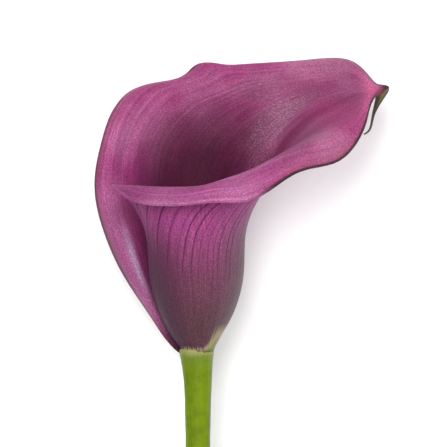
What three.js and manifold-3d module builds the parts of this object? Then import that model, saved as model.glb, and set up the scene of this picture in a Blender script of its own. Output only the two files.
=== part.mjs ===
// Calla lily, a single cut bloom on its stem, lying on its back.
//
// Units are millimetres, +Z is up and the stem runs along Y. Three separate pieces:
//   spathe  the one coloured leaf that wraps into a tube and flares into the open bloom
//   spadix  the finger of packed florets that stands inside the tube
//   stem    the round green stalk with its slanted cut end
//
// The bloom is drawn in its own frame first: u to the right, v up the stem, w towards the viewer,
// with the origin where the stem meets the bloom. layDown() then turns that frame onto the table.

import * as THREE from 'three';
import { NURBSSurface } from 'three/addons/curves/NURBSSurface.js';
import Module from 'manifold-3d';

// Driving dimensions of the spathe's sheet.
const SHEET_BASE = 1.15;          // thickness down in the tube
const SHEET_RIM = 0.85;           // thickness out in the flare and the tail
const SHEET_MARGIN = 0.62;        // thickness at the very margin
const MARGIN_REACH = 0.045;       // share of the width over which the margin thins
const THINNING = [0.1, 0.5];      // where along the leaf it goes from base to rim thickness
const SHEET_STEPS_LONG = 72;      // facets from base to tip
const SHEET_STEPS_WIDE = 32;      // facets from margin to margin

// Spadix.
const SPADIX_HEIGHT = 45;
const SPADIX_FOOT = -0.2;         // height of its foot, just over the stem's top
const SPADIX_RADIUS = 3.2;
const SPADIX_NECK = 0.78;         // radius at its foot, as a share
const SPADIX_TOP = 0.84;          // radius under its rounded tip, as a share
const SPADIX_CAP = 0.07;          // share of its height that the rounded tip takes
const FLORETS_ROUND = 12;         // florets in one turn
const FLORET_ROWS = 27;           // rows of florets from foot to tip
const FLORET_RELIEF = 0.34;       // how far a floret stands out

// Stem.
const STEM_LENGTH = 160;
const STEM_TOP = 0.6;             // depth of its top under the bloom, clear of the spathe's lower edge
const STEM_SIDES = 40;
const CUT_SLANT = 0.32;           // rise of the slanted cut across the stem, per millimetre
const STEM_BOW_START = 35;        // depth under the bloom at which the natural bow starts
const STEM_BOW = [5, -4];         // how far the bow takes the cut end in u and w
const STEM_LEAN = [-0.6, 0.55];   // the stem's top sits off the bloom's middle, and comes back below

// How the flower lies.
const LIE_TILT = 5.32;            // degrees about X: brings the cut end down to the table
const LIE_ROLL = 3.44;            // degrees about Y
const LIE_SHIFT = [-14.28, 29.37, 23.51];  // to the middle of the table, its lowest spots just planed off

// The spathe's shape is a cubic B-spline sheet over rows of hand-placed control points. Rows run from
// the base of the leaf to its tip. In a row the points go across the leaf: from the front margin, round
// the front of the tube, round its back, and out to the free flap at the left whose edge is the back
// margin.

const POINTS_ACROSS = 13;

// The tube's five rows: height, radius of the round part, and where its middle sits.
const TUBE_ROWS = [
  { height: 0.0, radius: 5.3, middle: 0.0 },
  { height: 3.5, radius: 6.9, middle: 0.0 },
  { height: 10.0, radius: 12.3, middle: -0.2 },
  { height: 24.0, radius: 17.0, middle: -0.5 },
  { height: 38.0, radius: 16.3, middle: -0.8 },
];

// The front layer's left side, from the tucked margin towards the middle of the front.
const FRONT_SIDE = [
  [[-5.8, 0.0, -1.0], [-5.4, 0.0, 1.6], [-2.8, 0.0, 4.5]],
  [[-8.8, 3.5, -1.4], [-8.2, 3.5, 2.2], [-4.6, 3.5, 6.2]],
  [[-12.7, 10.0, -2.4], [-12.6, 10.0, 3.0], [-7.4, 10.0, 10.0]],
  [[-17.4, 24.0, -2.4], [-17.2, 24.0, 4.2], [-10.5, 24.0, 13.4]],
  [[-14.6, 42.5, 0.5], [-17.2, 40.5, 6.8], [-11.6, 39.0, 14.2]],
];

// The round part of the tube: bearings of its points, in degrees from u towards w.
const ROUND_BEARINGS = [84, 48, 14, -20, -54, -88, -122];

// The free flap at the left: leaves the tube at the back, bulges forward, falls back to its margin.
const FLAP = [
  [[-5.2, -0.2, -4.2], [-7.2, -0.8, -1.8], [-6.9, -1.5, 0.9]],
  [[-7.8, 3.4, -5.2], [-9.6, 2.4, -2.0], [-10.1, 1.0, -1.4]],
  [[-12.4, 10.4, -5.6], [-13.6, 9.6, 0.6], [-14.4, 8.6, -4.0]],
  [[-18.2, 24.0, -5.0], [-21.0, 24.0, 3.0], [-25.4, 23.5, -5.5]],
  [[-21.6, 38.0, -6.5], [-26.6, 38.0, 4.0], [-31.6, 37.5, -5.0]],
];

// The flare, from the level of the rolled rim's left corner to the base of the tip.
const FLARE_ROWS = [
  [[-32.8, 58.8, 5.0], [-26.0, 56.3, 11.0], [-14.5, 49.5, 16.5], [-1.5, 48.0, 18.5], [10.0, 47.5, 16.5],
    [17.9, 47.5, 8.5], [19.4, 48.5, -2.5], [14.0, 50.0, -13.0], [2.0, 51.0, -19.0], [-12.0, 52.0, -18.0],
    [-24.0, 53.0, -11.0], [-32.9, 54.0, 0.5], [-36.1, 54.0, -4.0]],
  [[-23.0, 47.2, 18.5], [-19.0, 53.8, 16.5], [-8.5, 53.2, 15.0], [2.0, 52.0, 16.5], [13.0, 52.5, 15.5],
    [22.0, 53.5, 8.5], [24.5, 55.5, -2.5], [18.0, 60.0, -14.0], [4.0, 64.0, -22.0], [-12.0, 67.0, -22.0],
    [-23.5, 68.5, -14.5], [-30.2, 70.0, -6.0], [-32.3, 70.5, -8.0]],
  [[-9.0, 47.2, 25.0], [-3.0, 52.4, 23.5], [6.0, 52.7, 18.0], [13.0, 53.5, 16.0], [21.0, 55.5, 11.5],
    [27.0, 58.0, 5.0], [28.5, 61.0, -3.5], [23.5, 67.5, -14.5], [11.5, 73.5, -23.5], [-3.0, 78.5, -26.5],
    [-16.0, 83.0, -24.0], [-25.2, 86.0, -19.5], [-29.0, 85.2, -23.0]],
  [[18.0, 45.4, 26.5], [14.0, 56.0, 24.5], [18.5, 59.5, 19.5], [23.5, 61.0, 12.5], [28.0, 63.0, 5.0],
    [31.5, 65.5, -3.0], [32.0, 69.0, -10.5], [28.5, 75.0, -18.5], [21.0, 81.0, -25.0], [10.0, 87.0, -28.5],
    [0.0, 92.0, -30.5], [-7.0, 95.3, -31.0], [-8.5, 93.8, -35.0]],
  [[31.5, 60.0, 20.0], [30.5, 64.0, 19.5], [32.5, 67.0, 15.5], [35.5, 69.5, 9.0], [38.5, 72.0, 1.5],
    [40.5, 74.5, -6.0], [40.5, 77.5, -13.0], [38.5, 82.0, -19.0], [34.5, 86.5, -23.5], [28.5, 91.0, -26.0],
    [20.5, 95.0, -27.0], [14.0, 97.4, -27.5], [12.0, 96.4, -29.5]],
  [[46.5, 59.5, 12.5], [44.5, 65.2, 12.5], [44.8, 69.0, 10.0], [46.0, 72.0, 6.0], [47.3, 75.0, 1.0],
    [48.3, 78.0, -4.5], [48.5, 81.0, -9.5], [47.5, 85.0, -14.5], [45.5, 89.0, -19.5], [42.5, 92.5, -24.0],
    [39.5, 95.0, -27.0], [36.5, 98.2, -30.5], [36.5, 98.2, -33.5]],
  [[54.5, 70.4, 7.0], [53.2, 73.0, 6.8], [52.8, 75.5, 5.0], [53.0, 77.8, 2.5], [53.5, 80.0, -0.5],
    [54.0, 82.0, -3.5], [54.2, 84.0, -6.0], [54.0, 86.5, -8.5], [53.5, 89.0, -11.0], [52.8, 91.8, -13.5],
    [51.8, 94.4, -14.5], [51.9, 98.7, -17.0], [52.2, 99.5, -19.0]],
  [[56.5, 77.0, 3.5], [55.8, 78.2, 3.2], [55.8, 79.2, 2.4], [56.0, 80.4, 1.6], [56.2, 81.6, 0.8],
    [56.4, 82.8, 0.0], [56.5, 84.0, -0.8], [56.6, 85.2, -1.6], [56.7, 86.4, -2.8], [56.8, 87.5, -4.2],
    [57.1, 88.8, -5.6], [57.7, 90.0, -7.0], [58.3, 90.3, -8.2]],
];

// The beak and the thin tail that hangs from it: front margin, back margin and the hollow between.
const TAIL_ROWS = [
  { front: [57.4, 81.2, 1.6], back: [60.0, 87.8, -4.0], hollow: 0.6 },
  { front: [59.0, 84.8, 0.6], back: [63.2, 88.0, -2.0], hollow: 1.2 },
  { front: [59.4, 83.6, -0.6], back: [64.5, 86.6, -2.2], hollow: 1.6 },
  { front: [59.0, 81.4, -1.6], back: [62.0, 83.2, -3.2], hollow: 1.3 },
  { front: [58.3, 78.3, -2.5], back: [59.2, 78.8, -3.3], hollow: 0.5 },
  { front: [57.9, 75.2, -2.8], back: [58.5, 75.3, -3.4], hollow: 0.3 },
  { front: [57.3, 72.3, -2.8], back: [57.8, 71.9, -3.3], hollow: 0.2 },
  { front: [55.5, 71.6, -2.6], back: [55.7, 71.0, -3.1], hollow: 0.1 },
];

// Swells along a margin, 0 for the front one and 1 for the back one: row they sit at, spread in rows,
// reach across the leaf, push in u, v, w.
const SWELLS = [
  { row: 7.55, spread: 0.38, margin: 0, reach: 0.07, push: [0.0, 1.5, 0.2] },
  { row: 7.35, spread: 0.42, margin: 1, reach: 0.16, push: [-1.0, 0.4, 0.6] },
  { row: 7.9, spread: 0.36, margin: 1, reach: 0.16, push: [0.6, -1.2, -1.0] },
  { row: 8.47, spread: 0.23, margin: 1, reach: 0.14, push: [-1.7, 2.0, 0.8] },
];

const ROWS = TUBE_ROWS.length + FLARE_ROWS.length + TAIL_ROWS.length;

// One row of the tube: the front side, the round part, then the flap.
function tubeRow({ height, radius, middle }, index) {
  const round = ROUND_BEARINGS.map((bearing) => {
    const angle = THREE.MathUtils.degToRad(bearing);
    return [middle + radius * Math.cos(angle), height, radius * Math.sin(angle)];
  });
  return [...FRONT_SIDE[index], ...round, ...FLAP[index]];
}

// One row of the tail: evenly spaced from margin to margin, sagging away from the viewer in the middle.
function tailRow({ front, back, hollow }) {
  const row = [];
  for (let j = 0; j < POINTS_ACROSS; j += 1) {
    const share = j / (POINTS_ACROSS - 1);
    const point = front.map((value, axis) => THREE.MathUtils.lerp(value, back[axis], share));
    point[2] -= hollow * Math.sin(Math.PI * share);
    row.push(point);
  }
  return row;
}

// Knots of a cubic curve that starts and ends on its outer control points.
function clampedKnots(count) {
  const degree = 3;
  const spans = count - degree;
  const inner = Array.from({ length: spans - 1 }, (_, i) => (i + 1) / spans);
  return [0, 0, 0, 0, ...inner, 1, 1, 1, 1];
}

function spatheSurface() {
  const rows = [...TUBE_ROWS.map(tubeRow), ...FLARE_ROWS, ...TAIL_ROWS.map(tailRow)];
  const control = rows.map((row) => row.map(([u, v, w]) => new THREE.Vector4(u, v, w, 1)));
  return new NURBSSurface(3, 3, clampedKnots(ROWS), clampedKnots(POINTS_ACROSS), control);
}

const surface = spatheSurface();

// Middle of the sheet: along is 0 at the base and 1 at the tip, across is 0 at the front margin.
function sheetPoint(along, across) {
  const point = new THREE.Vector3();
  surface.getPoint(along, across, point);
  const row = 1 + along * (ROWS - 3);
  for (const swell of SWELLS) {
    const near = Math.exp(-(((row - swell.row) / swell.spread) ** 2));
    const atRim = Math.exp(-(((across - swell.margin) / swell.reach) ** 2));
    point.addScaledVector(new THREE.Vector3(...swell.push), near * atRim);
  }
  return point;
}

// Unit normal of the sheet, on the side of the bloom's inner face.
function sheetNormal(along, across) {
  const step = 1e-3;
  const a0 = Math.max(0, along - step);
  const a1 = Math.min(1, along + step);
  const c0 = Math.max(0, across - step);
  const c1 = Math.min(1, across + step);
  const lengthwise = sheetPoint(a1, across).sub(sheetPoint(a0, across));
  const crosswise = sheetPoint(along, c1).sub(sheetPoint(along, c0));
  return lengthwise.cross(crosswise).normalize();
}

// Thickness: stout in the tube, thinner in the flare, thinnest at the two margins.
function sheetThickness(along, across) {
  const body = THREE.MathUtils.lerp(SHEET_BASE, SHEET_RIM, THREE.MathUtils.smoothstep(along, ...THINNING));
  const edge = Math.min(across, 1 - across);
  return THREE.MathUtils.lerp(SHEET_MARGIN, body, THREE.MathUtils.smoothstep(edge, 0, MARGIN_REACH));
}

// A closed skin over two matching grids of points, [row][column], joined round their edge.
function sheetGeometry(inner, outer) {
  const rows = inner.length;
  const columns = inner[0].length;
  const positions = [...inner.flat(), ...outer.flat()].flatMap((p) => [p.x, p.y, p.z]);
  const top = (i, j) => i * columns + j;
  const under = (i, j) => rows * columns + top(i, j);
  const faces = [];
  const quad = (a, b, c, d) => faces.push(a, b, c, a, c, d);
  for (let i = 0; i < rows - 1; i += 1) {
    for (let j = 0; j < columns - 1; j += 1) {
      quad(top(i, j), top(i + 1, j), top(i + 1, j + 1), top(i, j + 1));
      faces.push(under(i, j), under(i + 1, j + 1), under(i + 1, j));
      faces.push(under(i, j), under(i, j + 1), under(i + 1, j + 1));
    }
  }
  const last = rows - 1;
  const side = columns - 1;
  for (let j = 0; j < side; j += 1) {
    quad(top(0, j), top(0, j + 1), under(0, j + 1), under(0, j));
    quad(top(last, j + 1), top(last, j), under(last, j), under(last, j + 1));
  }
  for (let i = 0; i < last; i += 1) {
    quad(top(i + 1, 0), top(i, 0), under(i, 0), under(i + 1, 0));
    quad(top(i, side), top(i + 1, side), under(i + 1, side), under(i, side));
  }
  return indexed(positions, faces);
}

// A closed skin over rings of points, with a middle point at each end.
function ringGeometry(rings, foot, tip) {
  const sides = rings[0].length;
  const points = [...rings.flat(), foot, tip];
  const footIndex = points.length - 2;
  const tipIndex = points.length - 1;
  const faces = [];
  for (let i = 0; i < rings.length - 1; i += 1) {
    for (let k = 0; k < sides; k += 1) {
      const next = (k + 1) % sides;
      const a = i * sides + k;
      const b = i * sides + next;
      faces.push(a, b + sides, a + sides, a, b, b + sides);
    }
  }
  const start = (rings.length - 1) * sides;
  for (let k = 0; k < sides; k += 1) {
    const next = (k + 1) % sides;
    faces.push(footIndex, next, k);
    faces.push(tipIndex, start + k, start + next);
  }
  return indexed(points.flatMap((p) => [p.x, p.y, p.z]), faces);
}

function indexed(positions, faces) {
  const geometry = new THREE.BufferGeometry();
  geometry.setAttribute('position', new THREE.Float32BufferAttribute(positions, 3));
  geometry.setIndex(faces);
  return geometry;
}

function spatheGeometry() {
  const inner = [];
  const outer = [];
  for (let i = 0; i <= SHEET_STEPS_LONG; i += 1) {
    const along = i / SHEET_STEPS_LONG;
    inner.push([]);
    outer.push([]);
    for (let j = 0; j <= SHEET_STEPS_WIDE; j += 1) {
      const across = j / SHEET_STEPS_WIDE;
      const middle = sheetPoint(along, across);
      const normal = sheetNormal(along, across);
      const half = sheetThickness(along, across) / 2;
      inner[i].push(middle.clone().addScaledVector(normal, half));
      outer[i].push(middle.clone().addScaledVector(normal, -half));
    }
  }
  return sheetGeometry(inner, outer);
}

// Outline of the spadix: a slim finger, narrow at the foot and rounded at the tip.
function spadixRadius(share) {
  const neck = THREE.MathUtils.lerp(SPADIX_NECK, 1, THREE.MathUtils.smoothstep(share, 0, 0.25));
  const taper = THREE.MathUtils.lerp(1, SPADIX_TOP, THREE.MathUtils.smoothstep(share, 0.4, 0.95));
  const intoCap = Math.max(0, (share - 1 + SPADIX_CAP) / SPADIX_CAP);
  const round = Math.sqrt(Math.max(0, 1 - intoCap ** 2));
  return SPADIX_RADIUS * neck * taper * Math.max(round, 0.2);
}

// Rings of packed florets: each is a bump, and every second row is shifted by half a floret.
function spadixGeometry() {
  const sides = FLORETS_ROUND * 2;
  const count = FLORET_ROWS * 2;
  const rings = [];
  for (let i = 0; i <= count; i += 1) {
    const share = i / count;
    const radius = spadixRadius(share);
    const ring = [];
    for (let k = 0; k < sides; k += 1) {
      const angle = (2 * Math.PI * k) / sides;
      const bump = Math.cos(Math.PI * k) * Math.cos(Math.PI * i);
      const reach = radius + (FLORET_RELIEF / 2) * bump * (radius / SPADIX_RADIUS);
      ring.push(new THREE.Vector3(
        reach * Math.cos(angle),
        SPADIX_FOOT + SPADIX_HEIGHT * share,
        -reach * Math.sin(angle),
      ));
    }
    rings.push(ring);
  }
  const foot = new THREE.Vector3(0, SPADIX_FOOT, 0);
  const tip = new THREE.Vector3(0, SPADIX_FOOT + SPADIX_HEIGHT + 0.3, 0);
  return ringGeometry(rings, foot, tip);
}

// The stem's outline from the bloom down: depth under the bloom and radius there.
const STEM_OUTLINE = [
  [STEM_TOP, 5.6], [1.2, 5.75], [2.2, 5.7], [3.6, 5.35], [6.0, 5.05], [10.0, 4.7], [17.0, 4.36],
  [29.0, 4.1], [52.0, 4.15], [72.0, 4.22], [92.0, 4.3], [112.0, 4.38], [130.0, 4.45], [146.0, 4.5],
  [STEM_LENGTH, 4.55],
];

// Middle line of the stem: straight below the bloom, then a slight natural bow.
function stemMiddle(depth) {
  const bow = Math.max(0, (depth - STEM_BOW_START) / (STEM_LENGTH - STEM_BOW_START)) ** 2;
  const lean = STEM_LEAN[0] + STEM_LEAN[1] * THREE.MathUtils.smoothstep(depth, -4, 14);
  return new THREE.Vector3(lean + STEM_BOW[0] * bow, -depth, STEM_BOW[1] * bow);
}

function stemGeometry() {
  const rings = STEM_OUTLINE.slice().reverse().map(([depth, radius]) => {
    const atCut = depth === STEM_LENGTH;
    const middle = stemMiddle(depth);
    const ring = [];
    for (let k = 0; k < STEM_SIDES; k += 1) {
      const angle = (2 * Math.PI * k) / STEM_SIDES;
      const offset = new THREE.Vector3(radius * Math.cos(angle), 0, -radius * Math.sin(angle));
      if (atCut) offset.y = CUT_SLANT * offset.z;
      ring.push(middle.clone().add(offset));
    }
    return ring;
  });
  return ringGeometry(rings, stemMiddle(STEM_LENGTH), stemMiddle(STEM_TOP));
}

const wasm = await Module();
wasm.setup();
const { Manifold, Mesh: ManifoldMesh } = wasm;

function layDown(geometry) {
  const turn = new THREE.Euler(
    THREE.MathUtils.degToRad(LIE_TILT),
    THREE.MathUtils.degToRad(LIE_ROLL),
    0,
  );
  const placed = new THREE.Matrix4().makeRotationFromEuler(turn);
  placed.setPosition(new THREE.Vector3(...LIE_SHIFT));
  return geometry.applyMatrix4(placed);
}

// Planes off what would sink into the table, which leaves small flat spots to rest on.
function flattenUnderside(geometry) {
  const body = new Manifold(new ManifoldMesh({
    numProp: 3,
    vertProperties: Float32Array.from(geometry.getAttribute('position').array),
    triVerts: Uint32Array.from(geometry.getIndex().array),
  }));
  const flat = body.trimByPlane([0, 0, 1], 0).getMesh();
  return indexed(Array.from(flat.vertProperties), Array.from(flat.triVerts));
}

function piece(name, geometry, material) {
  const mesh = new THREE.Mesh(flattenUnderside(layDown(geometry)), material);
  mesh.name = name;
  return mesh;
}

const petalMaterial = new THREE.MeshStandardMaterial({
  color: 0x9c3f78,
  roughness: 0.55,
  side: THREE.DoubleSide,
});
const floretMaterial = new THREE.MeshStandardMaterial({ color: 0xe3b23c, roughness: 0.7 });
const stalkMaterial = new THREE.MeshStandardMaterial({ color: 0x7fa318, roughness: 0.5 });

const group = new THREE.Group();
group.name = 'calla_lily';
group.add(piece('spathe', spatheGeometry(), petalMaterial));
group.add(piece('spadix', spadixGeometry(), floretMaterial));
group.add(piece('stem', stemGeometry(), stalkMaterial));

export default group;
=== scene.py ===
"""Calla lily lying on its back: fine surfaces, materials, light and camera over the fixed frame."""
import math

import bpy
import numpy as np
from mathutils import Euler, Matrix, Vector


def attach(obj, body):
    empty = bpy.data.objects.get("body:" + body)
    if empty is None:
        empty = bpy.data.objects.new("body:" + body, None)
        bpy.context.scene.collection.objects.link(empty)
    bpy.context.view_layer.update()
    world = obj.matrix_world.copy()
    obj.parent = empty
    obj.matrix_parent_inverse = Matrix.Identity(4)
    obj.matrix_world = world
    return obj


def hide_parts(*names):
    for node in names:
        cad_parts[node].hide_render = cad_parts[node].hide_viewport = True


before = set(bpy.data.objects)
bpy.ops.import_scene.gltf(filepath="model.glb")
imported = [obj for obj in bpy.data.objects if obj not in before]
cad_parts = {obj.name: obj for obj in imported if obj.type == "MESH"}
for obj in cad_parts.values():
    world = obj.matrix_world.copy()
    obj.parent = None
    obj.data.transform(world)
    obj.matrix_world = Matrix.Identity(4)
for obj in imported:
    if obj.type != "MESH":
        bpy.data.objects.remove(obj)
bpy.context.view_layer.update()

MM = 0.001

# How the flower lies. The bloom's own frame has u to the right, v up the stem and w towards the
# viewer, in millimetres, with its origin where the stem meets the bloom.
LIE_TILT = 5.32
LIE_ROLL = 3.44
LIE_SHIFT = (-14.28, 29.37, 23.51)
LIE_TURN = Euler((math.radians(LIE_TILT), math.radians(LIE_ROLL), 0.0), "ZYX").to_matrix()

# The leaf's thickness in millimetres, and how finely it is drawn. Its margins and its tail are as
# thin as a real leaf's, thinner than a solid may be.
SHEET_BASE = 1.0
SHEET_RIM = 0.72
SHEET_TAIL = 0.42
SHEET_MARGIN = 0.28
MARGIN_REACH = 0.05
RIM_THINNING = (0.1, 0.5)
TAIL_THINNING = (0.72, 0.86)
SHEET_STEPS_LONG = 300
SHEET_STEPS_WIDE = 150

# The leaf's foot laps down over the stem's top, as grown tissue does, and sinks into its skin. It
# does so between these two places across the leaf, so not at the free flap.
FOOT_LAP = 1.3
FOOT_SINK = 0.06
LAP_START = (0.03, 0.1)
LAP_END = (0.66, 0.76)

# The leaf's shape: rows of control points from its base to its tip. In a row they go across the
# leaf, from the front margin round the tube to the free flap at the left and its back margin.
POINTS_ACROSS = 13

# Height, radius of the round part and where its middle sits.
TUBE_ROWS = (
    (0.0, 5.3, 0.0),
    (3.5, 6.9, 0.0),
    (10.0, 12.3, -0.2),
    (24.0, 17.0, -0.5),
    (38.0, 16.3, -0.8),
)
FRONT_SIDE = (
    ((-5.8, 0.0, -1.0), (-5.4, 0.0, 1.6), (-2.8, 0.0, 4.5)),
    ((-8.8, 3.5, -1.4), (-8.2, 3.5, 2.2), (-4.6, 3.5, 6.2)),
    ((-12.7, 10.0, -2.4), (-12.6, 10.0, 3.0), (-7.4, 10.0, 10.0)),
    ((-17.4, 24.0, -2.4), (-17.2, 24.0, 4.2), (-10.5, 24.0, 13.4)),
    ((-14.6, 42.5, 0.5), (-17.2, 40.5, 6.8), (-11.6, 39.0, 14.2)),
)
ROUND_BEARINGS = (84, 48, 14, -20, -54, -88, -122)
# The first of these rows brings the flap's lower end up against the stem's corner.
FLAP = (
    ((-5.2, -0.2, -4.2), (-6.8, -0.8, -1.8), (-6.1, -1.5, 1.2)),
    ((-7.8, 3.4, -5.2), (-9.6, 2.4, -2.0), (-10.1, 1.0, -1.4)),
    ((-12.4, 10.4, -5.6), (-13.6, 9.6, 0.6), (-14.4, 8.6, -4.0)),
    ((-18.2, 24.0, -5.0), (-21.0, 24.0, 3.0), (-25.4, 23.5, -5.5)),
    ((-21.6, 38.0, -6.5), (-26.6, 38.0, 4.0), (-31.6, 37.5, -5.0)),
)
FLARE_ROWS = (
    ((-32.8, 58.8, 5.0), (-26.0, 56.3, 11.0), (-14.5, 49.5, 16.5), (-1.5, 48.0, 18.5), (10.0, 47.5, 16.5),
     (17.9, 47.5, 8.5), (19.4, 48.5, -2.5), (14.0, 50.0, -13.0), (2.0, 51.0, -19.0), (-12.0, 52.0, -18.0),
     (-24.0, 53.0, -11.0), (-32.9, 54.0, 0.5), (-36.1, 54.0, -4.0)),
    ((-23.0, 47.2, 18.5), (-19.0, 53.8, 16.5), (-8.5, 53.2, 15.0), (2.0, 52.0, 16.5), (13.0, 52.5, 15.5),
     (22.0, 53.5, 8.5), (24.5, 55.5, -2.5), (18.0, 60.0, -14.0), (4.0, 64.0, -22.0), (-12.0, 67.0, -22.0),
     (-23.5, 68.5, -14.5), (-30.2, 70.0, -6.0), (-32.3, 70.5, -8.0)),
    ((-9.0, 47.2, 25.0), (-3.0, 52.4, 23.5), (6.0, 52.7, 18.0), (13.0, 53.5, 16.0), (21.0, 55.5, 11.5),
     (27.0, 58.0, 5.0), (28.5, 61.0, -3.5), (23.5, 67.5, -14.5), (11.5, 73.5, -23.5), (-3.0, 78.5, -26.5),
     (-16.0, 83.0, -24.0), (-25.2, 86.0, -19.5), (-29.0, 85.2, -23.0)),
    ((18.0, 45.4, 26.5), (14.0, 56.0, 24.5), (18.5, 59.5, 19.5), (23.5, 61.0, 12.5), (28.0, 63.0, 5.0),
     (31.5, 65.5, -3.0), (32.0, 69.0, -10.5), (28.5, 75.0, -18.5), (21.0, 81.0, -25.0), (10.0, 87.0, -28.5),
     (0.0, 92.0, -30.5), (-7.0, 95.3, -31.0), (-8.5, 93.8, -35.0)),
    ((31.5, 60.0, 20.0), (30.5, 64.0, 19.5), (32.5, 67.0, 15.5), (35.5, 69.5, 9.0), (38.5, 72.0, 1.5),
     (40.5, 74.5, -6.0), (40.5, 77.5, -13.0), (38.5, 82.0, -19.0), (34.5, 86.5, -23.5), (28.5, 91.0, -26.0),
     (20.5, 95.0, -27.0), (14.0, 97.4, -27.5), (12.0, 96.4, -29.5)),
    ((46.5, 59.5, 12.5), (44.5, 65.2, 12.5), (44.8, 69.0, 10.0), (46.0, 72.0, 6.0), (47.3, 75.0, 1.0),
     (48.3, 78.0, -4.5), (48.5, 81.0, -9.5), (47.5, 85.0, -14.5), (45.5, 89.0, -19.5), (42.5, 92.5, -24.0),
     (39.5, 95.0, -27.0), (36.5, 98.2, -30.5), (36.5, 98.2, -33.5)),
    ((54.5, 70.4, 7.0), (53.2, 73.0, 6.8), (52.8, 75.5, 5.0), (53.0, 77.8, 2.5), (53.5, 80.0, -0.5),
     (54.0, 82.0, -3.5), (54.2, 84.0, -6.0), (54.0, 86.5, -8.5), (53.5, 89.0, -11.0), (52.8, 91.8, -13.5),
     (51.8, 94.4, -14.5), (51.9, 98.7, -17.0), (52.2, 99.5, -19.0)),
    ((56.5, 77.0, 3.5), (55.8, 78.2, 3.2), (55.8, 79.2, 2.4), (56.0, 80.4, 1.6), (56.2, 81.6, 0.8),
     (56.4, 82.8, 0.0), (56.5, 84.0, -0.8), (56.6, 85.2, -1.6), (56.7, 86.4, -2.8), (56.8, 87.5, -4.2),
     (57.1, 88.8, -5.6), (57.7, 90.0, -7.0), (58.3, 90.3, -8.2)),
)
# Front margin, back margin, and the hollow between them.
TAIL_ROWS = (
    ((57.4, 81.2, 1.6), (60.0, 87.8, -4.0), 0.6),
    ((59.0, 84.8, 0.6), (63.2, 88.0, -2.0), 1.2),
    ((59.4, 83.6, -0.6), (64.5, 86.6, -2.2), 1.6),
    ((59.0, 81.4, -1.6), (62.0, 83.2, -3.2), 1.3),
    ((58.3, 78.3, -2.5), (59.2, 78.8, -3.3), 0.5),
    ((57.9, 75.2, -2.8), (58.5, 75.3, -3.4), 0.3),
    ((57.3, 72.3, -2.8), (57.8, 71.9, -3.3), 0.2),
    ((55.5, 71.5, -2.7), (55.6, 71.2, -3.0), 0.05),
)
# Swells along a margin, 0 for the front one and 1 for the back one: row, spread in rows, margin,
# reach across the leaf, push in u, v, w.
SWELLS = (
    (7.55, 0.38, 0.0, 0.07, (0.0, 1.5, 0.2)),
    (7.35, 0.42, 1.0, 0.16, (-1.0, 0.4, 0.6)),
    (7.9, 0.36, 1.0, 0.16, (0.6, -1.2, -1.0)),
    (8.47, 0.23, 1.0, 0.14, (-1.7, 2.0, 0.8)),
)

# The spadix: its size in millimetres, then its shape as shares of its radius and of its height.
SPADIX_HEIGHT = 45.0
SPADIX_FOOT = -0.2
SPADIX_RADIUS = 3.1
SPADIX_LEAST_RADIUS = 0.05
SPADIX_NECK = 0.78
SPADIX_NECK_END = 0.25
SPADIX_TOP = 0.84
SPADIX_TAPER = (0.4, 0.95)
SPADIX_CAP = 0.07
SPADIX_CAP_LEAST = 0.06
SPADIX_CAP_RISE = 0.1

# Its florets. The relief fades where the tip is narrower than the radius given here.
FLORETS_ROUND = 20
FLORET_ROWS = 58
FLORET_RELIEF = 0.6
FLORET_MIDDLE = 0.6
FLORET_FADE_RADIUS = 1.2
FLORET_NARROWING = 1.9
FLORET_FLATTENING = 0.92
DIMPLE_DEPTH = 0.3
DIMPLE_WIDTH = 0.22
FLORET_SIDES = 7
FLORET_STEPS = 6

# The stem: depth under the bloom and radius there, in millimetres.
STEM_LENGTH = 160.0
STEM_OUTLINE = (
    (0.0, 4.6), (0.3, 5.5), (0.6, 5.62), (2.2, 5.66), (3.6, 5.35), (6.0, 5.05), (10.0, 4.7), (17.0, 4.36),
    (29.0, 4.1), (52.0, 4.15), (72.0, 4.22), (92.0, 4.3), (112.0, 4.38), (130.0, 4.45), (146.0, 4.5),
    (160.0, 4.55),
)
STEM_BOW_START = 35.0
STEM_BOW = (5.0, -4.0)
STEM_LEAN = (-0.6, 0.55)
STEM_LEAN_DEPTHS = (-4.0, 14.0)
STEM_SIDES = 120
STEM_RINGS = 260
RING_CROWDING = 1.5

# Its skin: ribs that wander a little, and swellings of so many millimetres and radians a millimetre.
STEM_RIBS = 15
RIB_DEPTH = 0.03
RIB_WANDER = 0.6
RIB_WANDER_PACE = 0.02
LONG_SWELL = (0.03, 0.11)
SHORT_SWELL = (0.02, 0.31)
FIBRE_FINENESS = 14.0
FIBRE_STRETCH = 0.0035

# Its slanted cut, and the depth over which the slant dies out in the wall.
CUT_SLANT = 0.32
CUT_FADE = 6.0
CUT_RINGS = 14
CUT_RIPPLE = 0.05
CUT_RIPPLES = 9.0

# The photograph's framing: its middle in the bloom's frame, and what it shows from how far off.
FRAME_MIDDLE = (8.5, 41.5, 0.0)
FRAME_WIDTH = 149.0
CAMERA_DISTANCE = 700.0
SENSOR_WIDTH = 36.0
NEAREST_SEEN = 0.01

# Soft round lights: place in the bloom's frame, size in metres, power in watts.
LIGHTS = {
    "key": ((-230.0, 330.0, 800.0), 0.6, 6.8),
    "side": ((560.0, 300.0, 420.0), 0.5, 2.6),
    "front": ((60.0, -200.0, 820.0), 0.8, 3.6),
}
LIGHT_AIM = (8.0, 45.0, 0.0)
SKY_STRENGTH = 0.3
FLOOR_SHADE = 0.93
FLOOR_HALF = 3.0


def srgb(red, green, blue):
    """A colour as seen on a screen, 0 to 255, as the linear colour that a shader takes."""
    def linear(value):
        value /= 255.0
        return value / 12.92 if value <= 0.04045 else ((value + 0.055) / 1.055) ** 2.4
    return (linear(red), linear(green), linear(blue), 1.0)


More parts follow.
